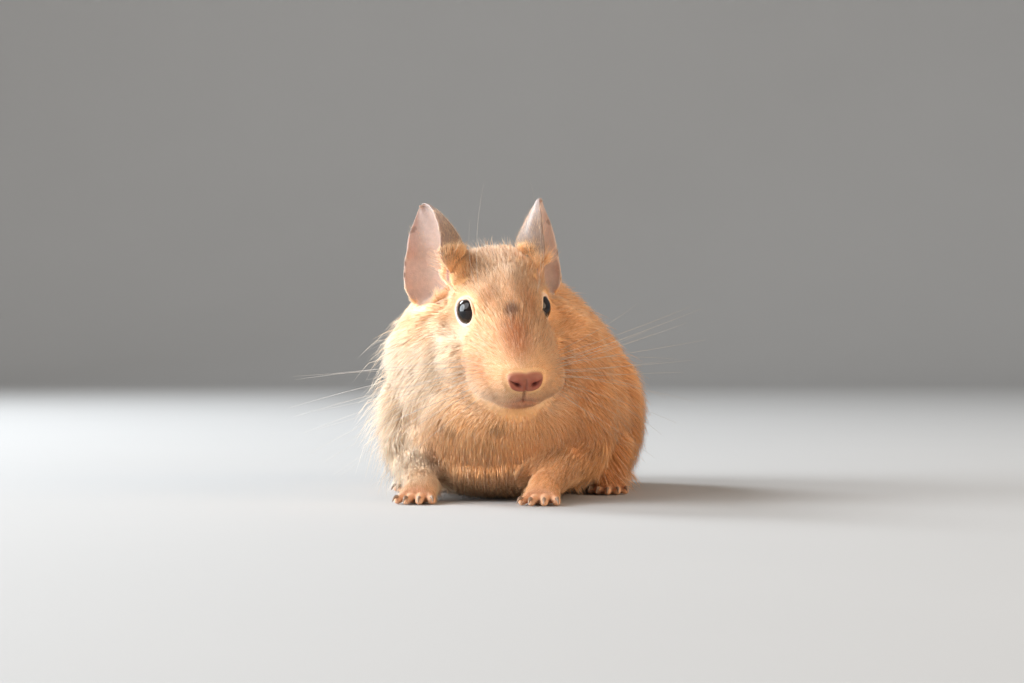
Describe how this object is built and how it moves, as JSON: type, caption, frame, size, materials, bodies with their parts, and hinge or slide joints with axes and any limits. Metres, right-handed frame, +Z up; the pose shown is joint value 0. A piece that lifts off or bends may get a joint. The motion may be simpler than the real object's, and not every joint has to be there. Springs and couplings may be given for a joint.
{
  "type": "degu figure",
  "caption": "Life-size sand-coloured degu crouched on the floor, head turned a little to its left, ears up, tail laid out behind with a dark brush.",
  "frame": {"origin": "middle of the flat of the belly, on the floor the animal rests on", "axes": "+Z up; the animal faces -Y with its trunk turned about 10 degrees; +X is its left side; the tail lies towards +Y"},
  "size_m": [0.1037, 0.2267, 0.0794],
  "materials": {
    "coat": "short dense fur",
    "ear_skin": "thin bare skin",
    "eye": "wet gloss",
    "foot": "bare skin with short hair",
    "tail": "short coarse hair over scaly skin",
    "tail_brush": "stiff bristles"
  },
  "bodies": {
    "root": {"head": "coat", "neck": "coat", "torso": "coat", "foreleg_left": "coat", "foreleg_right": "coat", "hind_leg_left": "coat", "hind_leg_right": "coat", "forepaw_left": "foot", "forepaw_right": "foot", "hind_foot_left": "foot", "hind_foot_right": "foot", "ear_left": "ear_skin", "ear_right": "ear_skin", "eye_left": "eye", "eye_right": "eye", "tail_root": "tail", "tail_middle": "tail", "tail_end": "tail_brush"}
  },
  "joints": []
}
